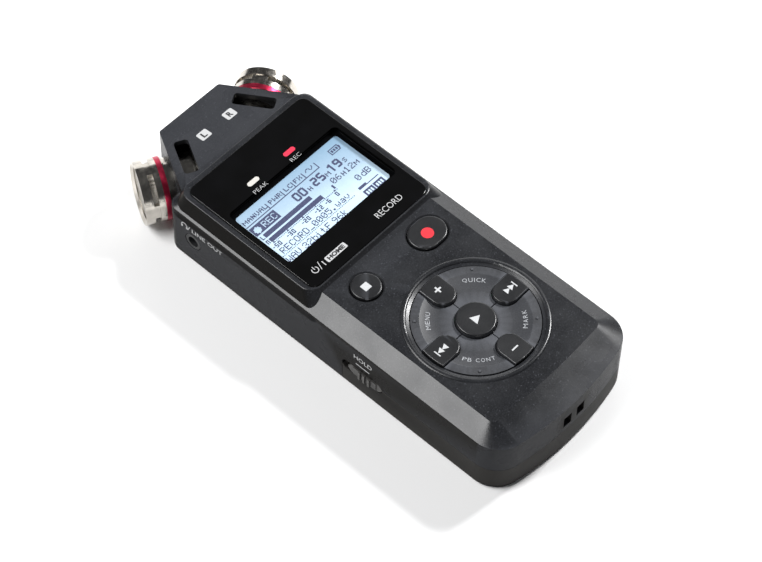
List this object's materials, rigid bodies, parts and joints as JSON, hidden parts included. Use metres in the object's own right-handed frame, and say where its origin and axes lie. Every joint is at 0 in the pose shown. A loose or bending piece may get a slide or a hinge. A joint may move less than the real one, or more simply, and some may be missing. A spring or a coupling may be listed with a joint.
{
  "type": "portable field recorder",
  "caption": "Handheld stereo audio recorder with angled twin microphones, lit display, button wheel, record and stop keys, side hold switch and rear battery door.",
  "frame": {"origin": "rear face, under the middle of the whole recorder", "axes": "+X to the user's right when reading the display, +Y towards the microphone end, +Z out of the display"},
  "size_m": [0.0608, 0.1444, 0.0238],
  "materials": {
    "case_plastic": "fine satin texture",
    "rear_plastic": "fine satin texture",
    "window": "high gloss black",
    "lcd": "pale blue lit display",
    "light_guide": "frosted clear",
    "key_black": "smooth satin black",
    "key_grey": "smooth satin dark grey",
    "board": "green solder mask",
    "chip": "moulded black",
    "switch_steel": "stamped",
    "socket_plastic": "moulded black",
    "nickel": "satin champagne nickel",
    "accent_red": "anodised crimson",
    "mesh_metal": "woven mesh",
    "capsule_metal": "satin",
    "holder_rubber": "matt",
    "brass_bush": "machined",
    "cell_jacket": "printed jacket",
    "spring_steel": "plated",
    "screw_steel": "black plated",
    "speaker_metal": "stamped"
  },
  "bodies": {
    "recorder": {"front_cover": "case_plastic", "rear_case": "rear_plastic", "display_window": "window", "lcd_panel": "lcd", "lcd_backlight": "lcd", "peak_light_guide": "light_guide", "record_light_guide": "light_guide", "status_leds": "light_guide", "main_board": "board", "tact_switches": "switch_steel", "board_chips": "chip", "hold_switch": "socket_plastic", "headphone_jack": "socket_plastic", "mic_input_jack": "socket_plastic", "input_board": "board", "usb_socket": "switch_steel", "card_socket": "switch_steel", "memory_card": "chip", "card_door_pin": "spring_steel", "speaker": "speaker_metal", "tripod_bush": "brass_bush", "left_battery": "cell_jacket", "right_battery": "cell_jacket", "battery_springs": "spring_steel", "battery_contacts": "spring_steel", "case_screws": "screw_steel", "board_screws": "screw_steel", "left_mic_guard": "nickel", "left_mic_accent_ring": "accent_red", "left_mic_tube": "nickel", "left_mic_mesh": "mesh_metal", "left_mic_capsule": "capsule_metal", "left_mic_holder": "holder_rubber", "right_mic_guard": "nickel", "right_mic_accent_ring": "accent_red", "right_mic_tube": "nickel", "right_mic_mesh": "mesh_metal", "right_mic_capsule": "capsule_metal", "right_mic_holder": "holder_rubber"},
    "quick_button": {"quick_button": "key_grey"},
    "menu_button": {"menu_button": "key_grey"},
    "playback_button": {"playback_button": "key_grey"},
    "mark_button": {"mark_button": "key_grey"},
    "skip_forward_button": {"skip_forward_button": "key_black"},
    "plus_button": {"plus_button": "key_black"},
    "skip_back_button": {"skip_back_button": "key_black"},
    "minus_button": {"minus_button": "key_black"},
    "play_button": {"play_button": "key_black"},
    "stop_button": {"stop_button": "key_black"},
    "record_button": {"record_button": "key_black"},
    "hold_knob": {"hold_knob": "key_black"},
    "battery_door": {"battery_door": "rear_plastic"},
    "card_door": {"card_door": "case_plastic"}
  },
  "joints": [
    {"name": "quick_press", "type": "slide", "parent": "recorder", "child": "quick_button", "axis": [0, 0, -1], "range_m": [0, 0.0005], "stiffness_N_per_m": 2000},
    {"name": "menu_press", "type": "slide", "parent": "recorder", "child": "menu_button", "axis": [0, 0, -1], "range_m": [0, 0.0005], "stiffness_N_per_m": 2000},
    {"name": "playback_press", "type": "slide", "parent": "recorder", "child": "playback_button", "axis": [0, 0, -1], "range_m": [0, 0.0005], "stiffness_N_per_m": 2000},
    {"name": "mark_press", "type": "slide", "parent": "recorder", "child": "mark_button", "axis": [0, 0, -1], "range_m": [0, 0.0005], "stiffness_N_per_m": 2000},
    {"name": "skip_forward_press", "type": "slide", "parent": "recorder", "child": "skip_forward_button", "axis": [0, 0, -1], "range_m": [0, 0.0005], "stiffness_N_per_m": 2000},
    {"name": "plus_press", "type": "slide", "parent": "recorder", "child": "plus_button", "axis": [0, 0, -1], "range_m": [0, 0.0005], "stiffness_N_per_m": 2000},
    {"name": "skip_back_press", "type": "slide", "parent": "recorder", "child": "skip_back_button", "axis": [0, 0, -1], "range_m": [0, 0.0005], "stiffness_N_per_m": 2000},
    {"name": "minus_press", "type": "slide", "parent": "recorder", "child": "minus_button", "axis": [0, 0, -1], "range_m": [0, 0.0005], "stiffness_N_per_m": 2000},
    {"name": "play_press", "type": "slide", "parent": "recorder", "child": "play_button", "axis": [0, 0, -1], "range_m": [0, 0.0005], "stiffness_N_per_m": 2000},
    {"name": "stop_press", "type": "slide", "parent": "recorder", "child": "stop_button", "axis": [0, 0, -1], "range_m": [0, 0.0005], "stiffness_N_per_m": 2000},
    {"name": "record_press", "type": "slide", "parent": "recorder", "child": "record_button", "axis": [0, 0, -1], "range_m": [0, 0.0005], "stiffness_N_per_m": 2000},
    {"name": "hold_slide", "type": "slide", "parent": "recorder", "child": "hold_knob", "axis": [0, 1, 0], "range_m": [0, 0.002]},
    {"name": "battery_door_slide", "type": "slide", "parent": "recorder", "child": "battery_door", "axis": [0, -1, 0], "range_m": [0, 0.008]},
    {"name": "card_door_hinge", "type": "hinge", "parent": "recorder", "child": "card_door", "pos_m": [0.02615, 0.008, 0.0127], "axis": [0, 1, 0], "range_deg": [0, 90]}
  ]
}
